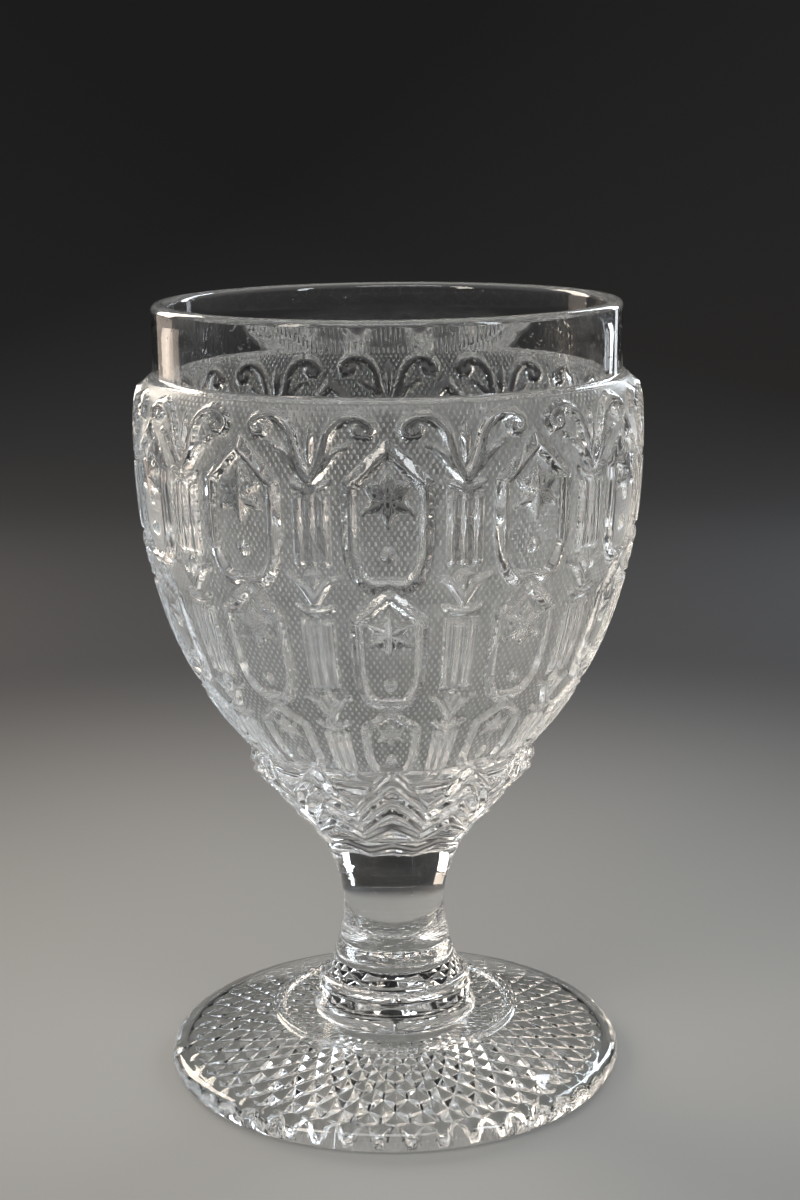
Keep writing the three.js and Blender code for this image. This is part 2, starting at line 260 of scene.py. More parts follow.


# Stippled ground: cos(dots * angle) times cos(rows * height) peaks in alternate rows, and only the ground has
# it. Between its beads the glass is painted greyer as painted shade, darker still low down between two given
# levels, and the whole ground is misty.
def makeStippleGroup():
    group = bpy.data.node_groups.new("stippledGround", "ShaderNodeTree")
    for name, kind in (("Height", "Float"), ("Mist", "Float"), ("Color", "Color")):
        group.interface.new_socket(name, in_out="OUTPUT", socket_type="NodeSocket" + kind)
    leave = group.nodes.new("NodeGroupOutput")
    place = node(group, "SeparateXYZ", {"Vector": node(group, "TexCoord").outputs["Object"]})
    x, y, z = (place.outputs[axis] for axis in "XYZ")
    angle = sums(group, "ARCTAN2", x, sums(group, "MULTIPLY", y, -1.0))
    dots = stipple["dots"][0]
    for tier, fewer, more in zip(stipple["tiers"], stipple["dots"][:-1], stipple["dots"][1:]):
        above = sums(group, "GREATER_THAN", z, tier * mm)
        dots = sums(group, "ADD", sums(group, "MULTIPLY", above, more - fewer), dots)
    across = sums(group, "COSINE", sums(group, "MULTIPLY", angle, dots))
    rows = stipple["rowsPerMillimetre"] * 2 * np.pi / mm
    along = sums(group, "COSINE", sums(group, "MULTIPLY", z, rows))
    bead = sums(group, "SUBTRACT", sums(group, "MULTIPLY", across, along), stipple["gap"])
    bead = sums(group, "MAXIMUM", bead, 0.0)
    ground = node(group, "Attribute", attribute_name="ground").outputs["Fac"]
    raised = sums(group, "MULTIPLY", bead, ground)
    # Painted shade: the gaps between the beads take a darker colour, darker still low down.
    between = sums(group, "SUBTRACT", ground, raised)
    thin, thick = (level * mm for level in stipple["thicker"])
    lowShadeShare = node(group, "MapRange", {"Value": z, "From Min": thin, "From Max": thick}).outputs["Result"]
    gapShadeTint = node(group, "Mix", {0: lowShadeShare, 6: stipple["colour"], 7: stipple["lowShadeColour"]}, data_type="RGBA")
    colour = node(group, "Mix", {0: between, 6: crystal["colour"], 7: gapShadeTint.outputs[2]}, data_type="RGBA")
    group.links.new(sums(group, "MULTIPLY", raised, stipple["depth"]), leave.inputs["Height"])
    group.links.new(sums(group, "MULTIPLY", ground, stipple["mist"]), leave.inputs["Mist"])
    group.links.new(colour.outputs[2], leave.inputs["Color"])
    return group


bowlSkin = {"Wave Size": 60.0, "Wave Depth": 0.00005, "Smear": 0.04}
bowlCrystal = makeCrystal("bowlCrystal", bowlSkin, makeStippleGroup())
stemCrystal = makeCrystal("stemCrystal", {"Wave Size": 90.0, "Wave Depth": 0.00012, "Smear": 0.03})
waferCrystal = makeCrystal("waferCrystal", {"Wave Size": 110.0, "Wave Depth": 0.00006, "Smear": 0.03})
footCrystal = makeCrystal("footCrystal", {"Wave Size": 60.0, "Wave Depth": 0.00006, "Smear": 0.04})
print("materials made")


# Distance to a chain of straight pieces, the least over its pieces
def chainDistance(across, height, chain):
    near = np.full(across.shape, np.inf)
    for (x0, z0), (x1, z1) in zip(chain[:-1], chain[1:]):
        dx, dz = x1 - x0, z1 - z0
        share = np.clip(((across - x0) * dx + (height - z0) * dz) / (dx * dx + dz * dz), 0, 1)
        near = np.minimum(near, np.hypot(across - x0 - share * dx, height - z0 - share * dz))
    return near


# Depth inside a convex chain that runs anticlockwise, the least distance to its sides
def depthInside(across, height, chain):
    depth = np.full(across.shape, np.inf)
    for (x0, z0), (x1, z1) in zip(chain[:-1], chain[1:]):
        dx, dz = x1 - x0, z1 - z0
        depth = np.minimum(depth, (dx * (height - z0) - dz * (across - x0)) / np.hypot(dx, dz))
    return depth


# A smooth curve through a few points: cubic pieces whose slopes are half the step between neighbours
def smoothChain(points, steps=5):
    p = np.array(points, float)
    p = np.concatenate([[2 * p[0] - p[1]], p, [2 * p[-1] - p[-2]]])
    t = np.linspace(0, 1, steps, endpoint=False)[:, None]
    parts = []
    for a, b, c, d in zip(p[:-3], p[1:-2], p[2:-1], p[3:]):
        square = a - 2.5 * b + 2 * c - d / 2
        cube = 1.5 * (b - c) + (d - a) / 2
        parts.append(b + t * (c - a) / 2 + t**2 * square + t**3 * cube)
    return np.concatenate(parts + [p[-2:-1]])


# Round swelling over a distance, with its top at 1 and its edge at the reach
def swelling(distance, reach):
    return np.clip(1 - (distance / reach) ** 2, 0, 1)


bowlForm = {
    "seatRadius": 15.8, "collarTop": 66.0, "coneTop": 62.0, "collarRadius": 26.0, "coneBend": 0.23,
    "cornerFill": 0.7, "cornerReach": 2.8,
    "radius": 46.5, "widest": 122.4, "shoulder": 133.4,
    "ledgeHeight": 3.6, "ledgeRows": 9, "ledgeTurn": 84, "ledgePower": 4,
    "rimRadius": 43.5, "rimFoot": 137.0, "rimWall": 3.0, "bandGap": 0.4, "bandRows": 3,
    "lipRound": 1.2, "lipSteps": 6, "lipDrop": 4,
    "floor": 60.0, "insideOver": 4, "insideRows": 5, "insideTurn": -87, "insideSteps": 30,
    "panelColumns": 19, "shaftColumns": 9, "shaftHalf": 4.16,
    "collarRows": (4, 6, 6, 6, 12), "plainFrom": 68.0, "tierStep": 84.0, "lowRows": 25, "highRows": 84,
}


# The wall under the pattern: a cone and an upright band make the collar, then an ellipse swells to the widest
# level, and the shoulder leans in slowly and then fast up to the rim band, as the root of one less a power of
# the height. Where collar and ellipse meet, the corner is filled by a square of how near they are.
def wallRadius(height):
    f = bowlForm
    share = np.clip((height - bowlSeat) / (f["coneTop"] - bowlSeat), 0, 1)
    share = share + f["coneBend"] * share * (share - 1)
    collar = f["seatRadius"] + (f["collarRadius"] - f["seatRadius"]) * share
    curve = (f["widest"] - f["collarTop"]) / np.sqrt(1 - (f["collarRadius"] / f["radius"]) ** 2)
    swell = f["radius"] * np.sqrt(1 - np.clip((f["widest"] - height) / curve, 0, 1) ** 2)
    top = f["shoulder"] + f["ledgeHeight"]
    over = np.clip((height - f["widest"]) / (top - f["widest"]), 0, 1)
    ledge = (f["radius"] - f["rimRadius"]) * (1 - np.sqrt(1 - over ** f["ledgePower"]))
    fill = f["cornerFill"] * np.clip(1 - np.abs(collar - swell) / f["cornerReach"], 0, 1) ** 2
    return np.maximum(collar, swell - ledge) + fill


pattern = {
    "repeats": 11,
    "panels": [  # from the highest tier down; star and boss have level, reach and lift
        {"point": 131.4, "eaves": 123.5, "sill": 113, "foot": 104, "half": 10, "footHalf": 3.4,
         "radius": 46.4, "width": 3.0, "crest": 1.9, "lift": 1.08,
         "star": (120.8, 5.4, 1.05), "starStep": 0.45, "boss": (111.2, 1.45, 0.85)},
        {"point": 105.8, "eaves": 99.8, "sill": 90, "foot": 81.8, "half": 9.2, "footHalf": 3.6,
         "radius": 42.5, "width": 2.6, "crest": 1.65, "lift": 1.2,
         "star": (96.8, 4.6, 1.05), "starStep": 0.4, "boss": (86.9, 1.3, 0.75)},
        {"point": 82.5, "eaves": 78.1, "sill": 72, "foot": 66.6, "half": 9.2, "footHalf": 4,
         "radius": 33.6, "width": 2.1, "crest": 1.3, "lift": 1.1,
         "star": (76.3, 3.0, 0.7), "starStep": 0.2, "boss": (70.2, 1.2, 0.6)},
    ],
    "footSteps": 6, "starEdge": 0.01,
    "shafts": [(108.9, 121.6), (85.7, 99.3), (67.4, 76.9)],
    "reeds": 3, "reedGroove": 0.35, "shaftEnd": 0.5,
    "neckings": [(123.8, 1.6), (101.9, 1.4), (78.9, 1.1)],  # level of a crescent's tips and its sag
    "neckingHalf": 4.0, "neckingThick": (0.25, 0.8),
    "columnRadius": 46.4,
    "hollows": (2.9, 67.9, 1.2),  # beside each column's foot: angle from its axis, level and depth
    "hollowHalf": (0.8, 1.7),
    "fadeUnder": 0.8, "fadeOver": 0.5,  # the relief ends under the rim band
    "bare": 0.02, "groundRise": 0.06, "groundOver": 1.2, "groundUnder": 0.5,
}
halfRepeat = np.pi / pattern["repeats"]


# Depth inside a panel's outline, with straight gables, upright sides and a round foot
def panelDepth(panel, angle, height):
    k = np.radians(1) * panel["radius"]
    half, footHalf = panel["half"] * k, panel["footHalf"] * k
    drop = panel["sill"] - panel["foot"]
    foot = arc(footHalf, panel["sill"], half - footHalf, drop, -90, 0, pattern["footSteps"])
    chain = [(-footHalf, panel["foot"]), *foot, (half, panel["eaves"]), (0, panel["point"])]
    return depthInside(angle * panel["radius"], height, chain)


# Frame of a panel: up an outer bevel to the crest and down an inner bevel to the ground again
def frameRise(panel, depth):
    inner = panel["width"] - panel["crest"]
    return panel["lift"] * np.clip(np.minimum(depth / panel["crest"], (panel["width"] - depth) / inner), 0, 1)


# Six-pointed star folded into half an arm: the distances from its centre, beside the arm's ridge, beside the
# valley between two arms, and across the arm's side, which is at half the reach where the outline is
def starField(panel, angle, height):
    across, up = angle * panel["radius"], height - panel["star"][0]
    away = np.hypot(across, up)
    turn = np.abs(np.arctan2(up, across) % (np.pi / 3) - np.pi / 6)
    side = away * (np.cos(turn) + np.sqrt(3) * np.sin(turn)) / 2
    return away, away * np.sin(turn), away * np.sin(np.pi / 6 - turn), side


# How far a place lies from the middle of its column, in millimetres
def fromColumn(angle):
    return (halfRepeat - angle) * pattern["columnRadius"]


# Shaft of reeds: round swellings with grooves between them, which end square
def shaftRise(span, angle, height):
    across = halfRepeat - angle
    halfReeds = pattern["reeds"] / 2
    reed = np.radians(bowlForm["shaftHalf"]) / halfReeds
    within = np.abs((across + reed / 2) % reed - reed / 2)
    swell = swelling(within, reed / 2)
    groove = pattern["reedGroove"]
    rise = np.where(across < reed, groove + (1 - groove) * swell, swell)
    ends = np.clip(np.minimum(height - span[0], span[1] - height) / pattern["shaftEnd"], 0, 1)
    return np.where(across < halfReeds * reed, rise, 0) * ends


# Crescent: the distance from its sagging middle line over its half thickness, which is greatest in the middle
def neckingField(necking, angle, height):
    tips, sag = necking
    thin, thicker = pattern["neckingThick"]
    share = np.clip(1 - (fromColumn(angle) / pattern["neckingHalf"]) ** 2, 0, 1)
    field = np.abs(height - tips + sag * share) / (thin + thicker * np.sqrt(share))
    return np.where(share > 0, field, np.inf)


# Stroke over a bottom level: the distance from its line over its half width, which is given as the width at
# the column, what it loses for each millimetre away and the least that it keeps
def strokeField(stroke, bottom, angle, height):
    across = fromColumn(angle)
    start, taper, least = stroke["width"]
    return chainDistance(across, height - bottom, stroke["line"]) / np.maximum(start - taper * across, least)


tulip = {
    "bottoms": [102.1, 79.2],
    "petal": {
        "line": smoothChain([(0, 0.3), (1.3, 2.2), (2.7, 3.9), (5, 4.9)]), "width": (1.15, 0.12, 0.45),
    },
    "middle": [(0, 1), (2.3, 5.2), (0, 7)], "middleBevel": 0.7, "middleLift": 0.6,
    "dropLevel": 4.4, "dropHalf": (0.95, 2.1), "dropLift": 0.5,
}


# Depth inside the tulip's pointed middle petal
def petalDepth(bottom, angle, height):
    return depthInside(fromColumn(angle), height - bottom, tulip["middle"])


# Tulip: side petals that curl outwards beside the middle petal with a drop on it
def tulipRise(bottom, angle, height):
    wide, high = tulip["dropHalf"]
    up = height - bottom - tulip["dropLevel"]
    middle = np.clip(petalDepth(bottom, angle, height) / tulip["middleBevel"], 0, 1) * tulip["middleLift"]
    drop = swelling(np.hypot(fromColumn(angle) / wide, up / high), 1) * tulip["dropLift"]
    return np.maximum(swelling(strokeField(tulip["petal"], bottom, angle, height), 1), middle + drop)


capital = {
    "arm": {
        "line": smoothChain([
            (0.3, 123.9), (1.7, 126.4), (2.7, 129.6), (3.7, 132.5), (6.2, 134.3),
            (9.0, 134.1), (10.5, 132.8), (9.8, 131.4), (8.4, 131.6), (7.9, 132.5),
        ]),
        "width": (1.05, 0, 1.05), "steep": 1.6, "lift": 1.05,
    },
    "leaf": {
        "line": smoothChain([(0.3, 123.9), (2.3, 126), (4.3, 128.2), (6.9, 129.8)]),
        "width": (1.45, 0.13, 0.5), "steep": 1.5, "lift": 0.85,
    },
    "beadFoot": 124.5, "beadWidth": (0.35, 0.09), "beadReach": 9,
    "beadLevel": 129.4, "beadHalf": 4.2, "beadLift": 0.9,
    "eye": (8.9, 132.8, 0.95), "eyeLift": 0.9,
}


# Capital: the arm that curls into a scroll and the leaf under it, both with steep sides. A pointed bead that
# widens upwards stands between the two arms, and a round eye in each scroll.
def capitalRise(angle, height):
    c = capital
    across = fromColumn(angle)
    thin, wider = c["beadWidth"]
    wide = thin + wider * np.clip(height - c["beadFoot"], 0, c["beadReach"])
    bead = swelling(np.hypot(across / wide, (height - c["beadLevel"]) / c["beadHalf"]), 1)
    away, level, reach = c["eye"]
    eye = swelling(np.hypot(across - away, height - level), reach)
    rise = np.maximum(bead * c["beadLift"], eye * c["eyeLift"])
    for stroke in (c["arm"], c["leaf"]):
        swell = np.clip(stroke["steep"] * swelling(strokeField(stroke, 0, angle, height), 1), 0, 1)
        rise = np.maximum(rise, swell * stroke["lift"])
    return rise


collar = {
    "peaks": (65.2, 61.3, 57.3, 53.4), "valleys": (57.6, 55.2, 52.4, 51.0), "soft": 0.13,
    "lift": 1.6, "ribReach": 1.3,
    "pocket": 1.3, "pocketOver": 1.7, "pocketReach": 1.0, "pocketSpan": (0.1, 0.6),
}


# A rib's line falls from a round peak under a panel to a valley under a column
def ribLine(peak, valley, angle):
    soft = collar["soft"]
    fall = np.sqrt((angle / halfRepeat) ** 2 + soft**2) - soft
    return peak + (valley - peak) * fall / (np.sqrt(1 + soft**2) - soft)


# Rib lines of the collar from the highest down
def ribLines(angle):
    return [ribLine(peak, valley, angle) for peak, valley in zip(collar["peaks"], collar["valleys"])]


# Collar: ridges along the rib lines with round grooves between them, and a pocket over the highest rib near
# its peaks
def collarRise(angle, height):
    c = collar
    lines = ribLines(angle)
    relief = np.zeros_like(height)
    for upper, lower in zip(lines[:-1], lines[1:]):
        phase = (height - lower) / (upper - lower)
        wave = 0.5 + 0.5 * np.cos(2 * np.pi * phase)
        relief = np.where((phase >= 0) & (phase < 1), wave, relief)
    over, under = height - lines[0], lines[-1] - height
    for beyond in (over, under):
        relief = np.maximum(relief, np.where(beyond >= 0, swelling(beyond, c["ribReach"]), 0))
    start, end = c["pocketSpan"]
    share = angle / halfRepeat
    nearPeak = np.clip(1 - share / end, 0, 1) * np.clip(share / start, 0, 1)
    return relief * c["lift"] - c["pocket"] * nearPeak * swelling(over - c["pocketOver"], c["pocketReach"])


# Everything that stands on the wall, as a height over it for each angle and level, and a mask of the bare
# ground
def bowlRelief(angle, height):
    f, p = bowlForm, pattern
    relief = np.zeros_like(angle)
    for panel in p["panels"]:
        depth = panelDepth(panel, angle, height)
        relief = np.where(depth > 0, frameRise(panel, depth), relief)
        reach, lift = panel["star"][1:]
        share = 1 - 2 * starField(panel, angle, height)[3] / reach
        step = panel["starStep"]
        star = np.where(share > p["starEdge"], step + (lift - step) * share, 0)
        level, reach, lift = panel["boss"]
        boss = lift * swelling(np.hypot(angle * panel["radius"], height - level), reach)
        relief = np.where(depth > panel["width"], np.maximum(star, boss), relief)
    for span in p["shafts"]:
        relief = np.maximum(relief, shaftRise(span, angle, height))
    for necking in p["neckings"]:
        relief = np.maximum(relief, swelling(neckingField(necking, angle, height), 1))
    for bottom in tulip["bottoms"]:
        relief = np.maximum(relief, tulipRise(bottom, angle, height))
    relief = np.maximum(relief, capitalRise(angle, height))
    top = f["shoulder"] + f["ledgeHeight"]
    fade = np.clip((top - p["fadeUnder"] - height) / p["fadeOver"], 0, 1)
    relief = relief * fade * (height > f["collarTop"])
    lowest, highest = f["collarTop"] + p["groundOver"], top - p["groundUnder"]
    ground = (relief < p["groundRise"]) & (height > lowest) & (height < highest)
    low = collarRise(angle, height)
    relief = np.where(relief > p["bare"], np.maximum(relief, low), low)
    fromAxis, level, depth = p["hollows"]
    wide, high = p["hollowHalf"]
    across = (angle - halfRepeat + np.radians(fromAxis)) * wallRadius(height)
    hollow = depth * swelling(np.hypot(across / wide, (height - level) / high), 1)
    return np.where(relief > p["bare"], relief, relief - hollow), ground


drawing = {
    "step": 0.005, "reach": 0.27, "leastSlope": 0.05, "stillRows": 2,
    "starFrom": 1.2, "starPast": 0.3, "leastCorner": 0.04, "rounds": 10,
}


# Moves grid points within reach of a line, where the field has one of its levels, straight onto it. Points on
# the axis of a panel or a column only move up or down.
def drawOnto(field, levels, angle, height):
    step, scale = drawing["step"], pattern["columnRadius"]
    value = field(angle, height)
    across = (field(angle + step / scale, height) - field(angle - step / scale, height)) / (2 * step)
    up = (field(angle, height + step) - field(angle, height - step)) / (2 * step)
    across[:, [0, -1]] = 0
    steep = np.hypot(across, up)
    steep = np.where(np.isfinite(steep) & (steep > drawing["leastSlope"]), steep, np.inf)
    levels = np.array(levels, float)
    gap = levels[np.abs(levels - value[..., None]).argmin(-1)] - value
    near = np.isfinite(gap) & (np.abs(gap) < drawing["reach"] * steep) & np.isfinite(steep)
    gap = np.where(near, gap, 0)
    share = np.where(gap == 0, 0, gap / steep**2)
    across, up = (share * np.where(gap == 0, 0, slope) for slope in (across, up))
    return angle + across / scale, height + up


# One of a star's distances where the star is, clear of its crowded centre
def starLine(panel, part, angle, height):
    field = starField(panel, angle, height)
    outer = panel["star"][1] + drawing["starPast"]
    return np.where((field[0] > drawing["starFrom"]) & (field[0] < outer), field[part], np.inf)


# Lines of the pattern, each a field and its levels: crescents, tulips, leaves, arms, stars and frames
def patternLines():
    lines = [(partial(neckingField, necking), (1,)) for necking in pattern["neckings"]]
    for bottom in tulip["bottoms"]:
        lines.append((partial(petalDepth, bottom), (0,)))
        lines.append((partial(strokeField, tulip["petal"], bottom), (1,)))
    for name in ("leaf", "arm"):
        lines.append((partial(strokeField, capital[name], 0), (1,)))
    for panel in pattern["panels"]:
        for part, level in ((1, 0), (2, 0), (3, panel["star"][1] / 2)):
            lines.append((partial(starLine, panel, part), (level,)))
        lines.append((partial(panelDepth, panel), (0, panel["crest"], panel["width"])))
    return lines


# Takes back half of the moves round each quad with a corner that is folded or nearly flat, for a given number
# of rounds
def untangle(angle, height, plainAngle, plainHeight):
    for _ in range(drawing["rounds"]):
        points = np.stack([angle * pattern["columnRadius"], height], -1)
        corners = [points[:-1, :-1], points[:-1, 1:], points[1:, 1:], points[1:, :-1]]
        flat = np.zeros(corners[0].shape[:2], bool)
        for k in range(4):
            ahead, back = corners[(k + 1) % 4] - corners[k], corners[k - 1] - corners[k]
            flat |= ahead[..., 0] * back[..., 1] - ahead[..., 1] * back[..., 0] < drawing["leastCorner"]
        touched = np.zeros(angle.shape, bool)
        for rows in (slice(None, -1), slice(1, None)):
            for columns in (slice(None, -1), slice(1, None)):
                touched[rows, columns] |= flat
        angle = np.where(touched, (angle + plainAngle) / 2, angle)
        height = np.where(touched, (height + plainHeight) / 2, height)
    return angle, height


# Half a repeat of the bowl's outside as a grid, from a panel's axis to a column's. Rows follow the ribs of
# the collar and are level over it, and points are drawn onto the pattern's lines.
def halfGrid():
    f = bowlForm
    shaftEdge = halfRepeat - np.radians(f["shaftHalf"])
    angles = np.concatenate([
        np.linspace(0, shaftEdge, f["panelColumns"], endpoint=False),
        np.linspace(shaftEdge, halfRepeat, f["shaftColumns"] + 1),
    ])
    bounds = [np.full_like(angles, bowlSeat), *ribLines(angles)[::-1], np.full_like(angles, f["plainFrom"])]
    rows = []
    for low, high, count in zip(bounds[:-1], bounds[1:], f["collarRows"]):
        rows.append(low + np.arange(count)[:, None] / count * (high - low))
    levels = np.concatenate([
        np.linspace(f["plainFrom"], f["tierStep"], f["lowRows"], endpoint=False),
        np.linspace(f["tierStep"], f["shoulder"], f["highRows"], endpoint=False),
    ])
    rows.append(np.repeat(levels[:, None], len(angles), 1))
    height = np.concatenate(rows)
    angle = np.repeat(angles[None], len(height), 0)
    moving = slice(sum(f["collarRows"]), -drawing["stillRows"])
    plain = angle.copy(), height.copy()
    for field, lineLevels in patternLines():
        angle[moving], height[moving] = drawOnto(field, lineLevels, angle[moving], height[moving])
    return angles, *untangle(angle, height, *plain)


# The middles of a grid's quads
def quadMiddles(values):
    return (values[:-1, :-1] + values[:-1, 1:] + values[1:, :-1] + values[1:, 1:]) / 4


# Which diagonal of each quad lies nearer to the true relief at the quad's middle
def nearerDiagonal(angle, height, relief):
    true = bowlRelief(quadMiddles(angle), quadMiddles(height))[0]
    rising = (relief[:-1, :-1] + relief[1:, 1:]) / 2
    falling = (relief[:-1, 1:] + relief[1:, :-1]) / 2
    return np.abs(rising - true) <= np.abs(falling - true)


# A half repeat mirrored into a whole one and repeated round the bowl
def allRound(values):
    return np.tile(np.concatenate([values, values[:, -2:0:-1]], 1), pattern["repeats"])


# Bowl: the pattern up the outside, then the ledge, rim band, lip and smooth inside with fewer columns
def makeBowl():
    f = bowlForm
    angles, angle, height = halfGrid()
    turn = np.radians(np.linspace(0, f["ledgeTurn"], f["ledgeRows"]))[:, None]
    height = np.concatenate([height, f["shoulder"] + f["ledgeHeight"] * np.sin(turn) + 0 * angles])
    angle = np.concatenate([angle, angles + 0 * turn])
    relief, ground = bowlRelief(angle, height)
    radius = wallRadius(height) + relief
    rising = nearerDiagonal(angle, height, relief)
    cuts = np.tile(np.concatenate([rising, ~rising[:, ::-1]], 1), pattern["repeats"])
    mirrored = np.concatenate([angle, 2 * halfRepeat - angle[:, -2:0:-1]], 1)
    around = np.concatenate([mirrored + 2 * halfRepeat * k for k in range(pattern["repeats"])], 1)
    stack = [ring(*row) for row in zip(allRound(radius), allRound(height), around)]
    even = around[-1]
    inside = f["rimRadius"] - f["rimWall"]
    lip = rimTop - f["lipRound"]
    bandTop = lip - f["lipDrop"]
    band = np.linspace(f["rimFoot"] + f["bandGap"], bandTop, f["bandRows"])
    wall = np.linspace(bandTop, f["widest"] + f["insideOver"], f["insideRows"])
    stack.append(ring(f["rimRadius"], f["rimFoot"], even[::2]))
    stack += rings([
        *[(f["rimRadius"], level) for level in band],
        *arc(f["rimRadius"] - f["lipRound"], lip, f["lipRound"], f["lipRound"], 0, 90, f["lipSteps"]),
        *arc(inside + f["lipRound"], lip, f["lipRound"], f["lipRound"], 90, 180, f["lipSteps"]),
    ], even[::4])
    stack += rings([
        *[(inside, level) for level in wall],
        *arc(0, f["widest"], inside, f["widest"] - f["floor"], 0, f["insideTurn"], f["insideSteps"]),
    ], even[::8])
    piece = stackPiece("bowl_glass", stack, (bowlSeat, f["floor"]), (1, 0), [bowlCrystal, seam], cuts)
    mask = np.zeros(len(piece.data.vertices))
    mask[:around.size] = allRound(ground.astype(float)).ravel()
    addValues(piece.data, "ground", mask)
    return piece


stemForm = {
    "footRadius": 13.1, "waistRadius": 9.9, "waistHeight": 14.5, "flare": 1.75,
    "columns": 176, "rows": (52, 18),
    "ribPeak": 48.6, "ribValley": 47.2, "ribReach": 0.85, "ribLift": 0.7, "ribZone": 4,
}


# Stem: the radius grows from the waist to both ends by a power of the distance. The mould's last rib runs
# round its top, under the collar.
def makeStem():
    f = stemForm
    high = bowlSeat - stemSeat
    plainRows, ribRows = f["rows"]
    up = np.concatenate([
        np.linspace(0, high - f["ribZone"], plainRows, endpoint=False),
        np.linspace(high - f["ribZone"], high, ribRows),
    ])
    below = np.clip((f["waistHeight"] - up) / f["waistHeight"], 0, 1) ** f["flare"]
    above = np.clip((up - f["waistHeight"]) / (high - f["waistHeight"]), 0, 1) ** f["flare"]
    radius = f["waistRadius"] + (f["footRadius"] - f["waistRadius"]) * below
    radius = radius + (bowlForm["seatRadius"] - f["waistRadius"]) * above
    angle = turns(f["columns"])
    fromPanel = np.abs((angle + halfRepeat) % (2 * halfRepeat) - halfRepeat)
    line = ribLine(f["ribPeak"], f["ribValley"], fromPanel)
    height = (stemSeat + up)[:, None]
    radius = radius[:, None] + f["ribLift"] * swelling(height - line, f["ribReach"])
    stack = [ring(row, level, angle) for row, level in zip(radius, stemSeat + up)]
    return stackPiece("stem_glass", stack, (stemSeat, bowlSeat), (1, 1), [stemCrystal, seam])


waferForm = {
    "radius": 15.0, "skirtWidth": 1.3, "skirtHeight": 3.6, "skirtSteps": 12,
    "shoulder": 2.3, "shoulderSteps": 10, "columns": 144,
}


# Wafer: a tall hollow skirt, a short upright side and a round shoulder up to the stem's foot
def makeWafer():
    f = waferForm
    across = f["radius"] - stemForm["footRadius"]
    skirtFoot, skirtTop = f["radius"] + f["skirtWidth"], waferSeat + f["skirtHeight"]
    shoulderFoot = stemSeat - f["shoulder"]
    profile = [
        *arc(skirtFoot, skirtTop, f["skirtWidth"], f["skirtHeight"], 270, 180, f["skirtSteps"]),
        *arc(stemForm["footRadius"], shoulderFoot, across, f["shoulder"], 0, 90, f["shoulderSteps"]),
    ]
    stack = rings(profile, turns(f["columns"]))
    return stackPiece("wafer_glass", stack, (waferSeat, stemSeat), (1, 1), [waferCrystal, seam])


footForm = {
    "radius": 44.2, "edgeHeight": 4.9, "edgeRound": 2.6, "edgeSteps": 16,
    "coneFoot": (40, 5.41), "coneTop": (24.5, 10.75), "coneRows": 8,
    "ringRadius": 22.8, "ringWidth": 1.9, "ringRise": 0.6, "ringSteps": 8, "ringInside": 21.2,
    "restingWidth": 1.0, "diamonds": 44, "rows": 9, "finer": 6, "ratio": 1.125,
    "depth": 1.4, "clearance": 0.4, "rise": 3.2,
    "seamTurn": -81, "seamHalf": 0.35, "seamLift": 0.2, "seamFrom": -np.pi / 4,
}


# Foot: diamonds underneath, where the least of two sloping waves along the crossing spirals stands down to a
# tip. Each half diamond has finer columns and rows, cut along the diagonals that its edges follow. The
# mould's seam is one narrow column of the round edge that stands out along the edge's turn.
def makeFoot():
    f = footForm
    columns = 2 * f["diamonds"] * f["finer"]
    angle = np.arange(columns) / f["finer"]
    resting = f["radius"] - f["edgeRound"]
    inner = resting - f["restingWidth"]
    field = inner - f["clearance"] - f["depth"]
    stack, cuts = [], []
    for step in range(f["rows"] * f["finer"] + 1):
        row = step / f["finer"]
        share = f["ratio"] ** (row - f["rows"])
        slants = np.stack([angle + row, angle - row]) / 2
        down = np.min(1 - 2 * np.abs(slants % 1 - 0.5), 0) if 0 < row < f["rows"] else 0
        height = f["clearance"] + f["rise"] * (1 - share) + f["depth"] * share * (1 - down)
        stack.append(ring(field * share, height, turns(columns)))
        cuts.append((np.floor(angle) + np.floor(row)) % 2 == 0)
    halfEdge = f["edgeHeight"] / 2
    around = turns(columns // 2)
    seamColumn = round(f["seamTurn"] % 360 / 360 * len(around))
    around[seamColumn - 1:seamColumn + 2] = around[seamColumn] + np.radians(f["seamHalf"]) * np.arange(-1, 2)
    ridge = np.where(np.arange(len(around)) == seamColumn, f["seamLift"], 0)
    stack.append(ring(inner, 0, around))
    edge = arc(resting, halfEdge, f["edgeRound"], halfEdge, -90, 90, f["edgeSteps"])
    for (radius, height), turn in zip(edge, np.linspace(-np.pi / 2, np.pi / 2, f["edgeSteps"] + 1)):
        lift = ridge * np.cos(turn / 2) ** 2 if turn > f["seamFrom"] else 0
        stack.append(ring(radius + lift * np.cos(turn), height + lift * np.sin(turn), around))
    waferFoot = waferForm["radius"] + waferForm["skirtWidth"]
    stack += rings([
        *np.linspace(f["coneFoot"], f["coneTop"], f["coneRows"]),
        *arc(f["ringRadius"], waferSeat, f["ringWidth"] / 2, f["ringRise"], 0, 180, f["ringSteps"]),
        (f["ringInside"], waferSeat), (waferFoot, waferSeat),
    ], around)
    ends = (stack[0][0, 2] / mm, waferSeat)
    return stackPiece("foot_glass", stack, ends, (0, 1), [footCrystal, seam], cuts[:-1])


for make, nodeName, slotName in (
    (makeBowl, "bowl", "bowl_crystal"), (makeStem, "stem", "stem_crystal"),
    (makeWafer, "joining_wafer", "wafer_crystal"), (makeFoot, "foot", "foot_crystal"),
):
    piece = make()
    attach(piece, "root")
    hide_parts(nodeName)

# The floor's near and far colours are a painted pool of light that fades from pale to dark.
studio = {
    "nearPaintedLight": (0.42, 0.42, 0.412, 1), "farPaintedShade": (0.08, 0.08, 0.083, 1), "fade": (0.04, 0.34),
    "roughness": 0.9, "gloss": 0.1, "air": (0.03, 0.031, 0.033, 1),
    "flat": 620, "bend": 420, "high": 700, "under": 0.05, "columns": 96, "bendSteps": 24,
}
